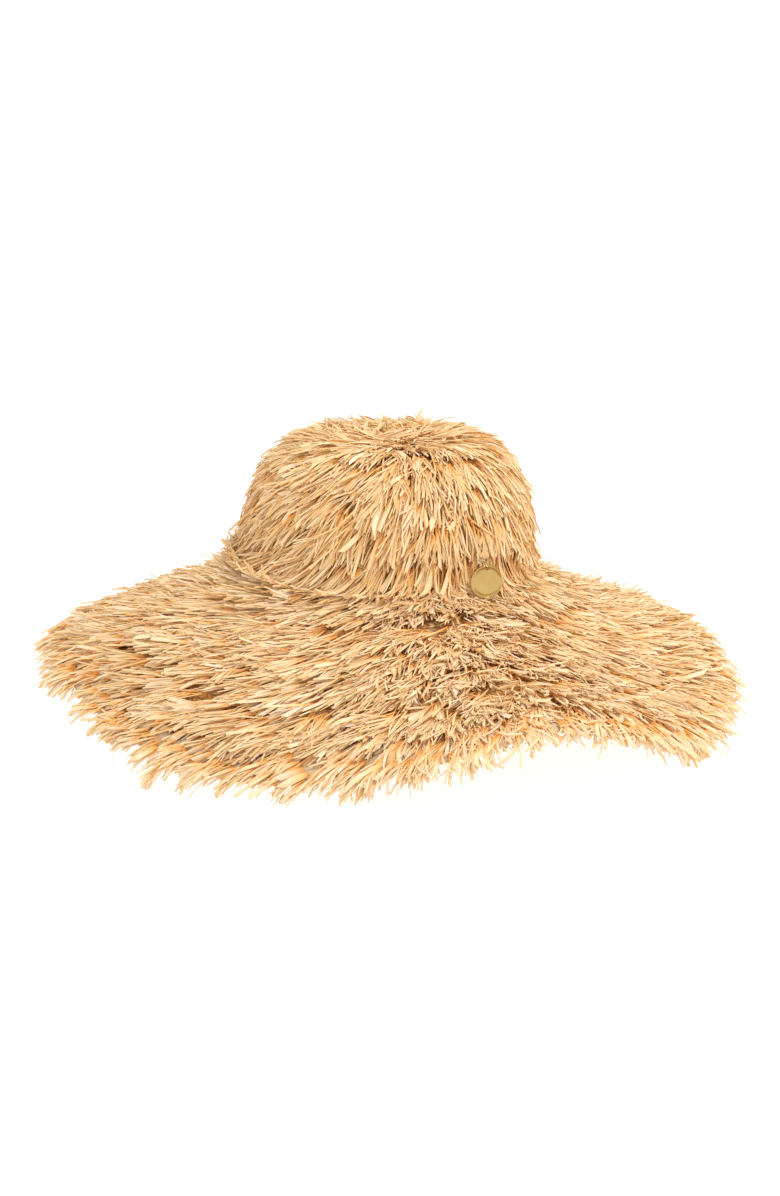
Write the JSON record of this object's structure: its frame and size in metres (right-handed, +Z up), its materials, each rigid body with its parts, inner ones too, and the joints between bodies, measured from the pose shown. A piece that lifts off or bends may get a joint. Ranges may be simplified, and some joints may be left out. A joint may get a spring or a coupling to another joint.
{
  "type": "straw sun hat",
  "caption": "Wide-brimmed shaggy raffia sun hat: round woven crown and wavy brim under rows of loose straw fringe, with a small round metal tag on a ring.",
  "frame": {"origin": "on the ground under the crown's axis, at the middle of the hat's outline", "axes": "+Z up along the crown's axis; -Y is the front, where the wearer's face looks and the tag hangs; +X is the wearer's left"},
  "size_m": [0.5, 0.5, 0.2035],
  "materials": {
    "raffia_fringe": "loose natural raffia straw, pale tan, satin sheen",
    "woven_straw": "plaited natural straw, matt",
    "edge_tape": "folded twill tape, straw coloured",
    "ribbon": "ribbed cotton ribbon, cream",
    "spring_wire": "drawn spring wire",
    "thread": "waxed sewing thread",
    "tag_brass": "polished, light gold"
  },
  "bodies": {
    "hat": {"brim_edge_binding": "edge_tape", "brim_edge_wire": "spring_wire", "brim_fringe_row_1": "raffia_fringe", "brim_fringe_row_2": "raffia_fringe", "brim_fringe_row_3": "raffia_fringe", "brim_fringe_row_4": "raffia_fringe", "brim_fringe_row_5": "raffia_fringe", "brim_fringe_row_6": "raffia_fringe", "brim_panel": "woven_straw", "crown_fringe_row_1": "raffia_fringe", "crown_fringe_row_2": "raffia_fringe", "crown_fringe_row_3": "raffia_fringe", "crown_fringe_row_4": "raffia_fringe", "crown_fringe_row_5": "raffia_fringe", "crown_fringe_row_6": "raffia_fringe", "crown_fringe_row_7": "raffia_fringe", "crown_side_panel": "woven_straw", "crown_tip_panel": "woven_straw", "sweatband": "ribbon", "tag_thread": "thread"},
    "ring": {"tag_ring": "tag_brass"},
    "tag": {"tag_disc": "tag_brass"}
  },
  "joints": [
    {"name": "ring_swing", "type": "hinge", "parent": "hat", "child": "ring", "pos_m": [0.06489, -0.08932, 0.1278], "axis": [-0.809, -0.5878, 0], "range_deg": [0, 100]},
    {"name": "tag_swing", "type": "hinge", "parent": "ring", "child": "tag", "pos_m": [0.06489, -0.08932, 0.1223], "axis": [0.2756, -0.9613, 0], "range_deg": [-30, 30]}
  ]
}
